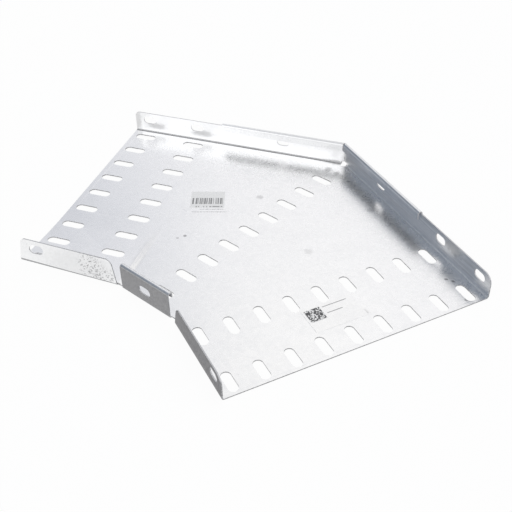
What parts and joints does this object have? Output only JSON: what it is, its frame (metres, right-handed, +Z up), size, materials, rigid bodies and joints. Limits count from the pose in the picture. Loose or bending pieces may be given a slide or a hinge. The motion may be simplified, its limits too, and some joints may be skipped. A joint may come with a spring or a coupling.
{
  "type": "cable tray bend",
  "caption": "Flat 45 degree bend for perforated cable tray, folded from zinc coated sheet, with hooked lips on its sides.",
  "frame": {"origin": "underside of the bed, where the centrelines of the two arms cross", "axes": "-X out of the entry arm's open end, +Y towards that arm's outer side, the exit arm runs at 45 degrees between +X and -Y, +Z up out of the tray"},
  "size_m": [0.3622, 0.3076, 0.0253],
  "materials": {
    "galvanised_sheet": "smooth zinc coated sheet with a fine mottled spangle",
    "label_film": "thin printed film"
  },
  "bodies": {
    "root": {"tray_bend": "galvanised_sheet", "barcode_label": "label_film", "code_label": "label_film"}
  },
  "joints": []
}
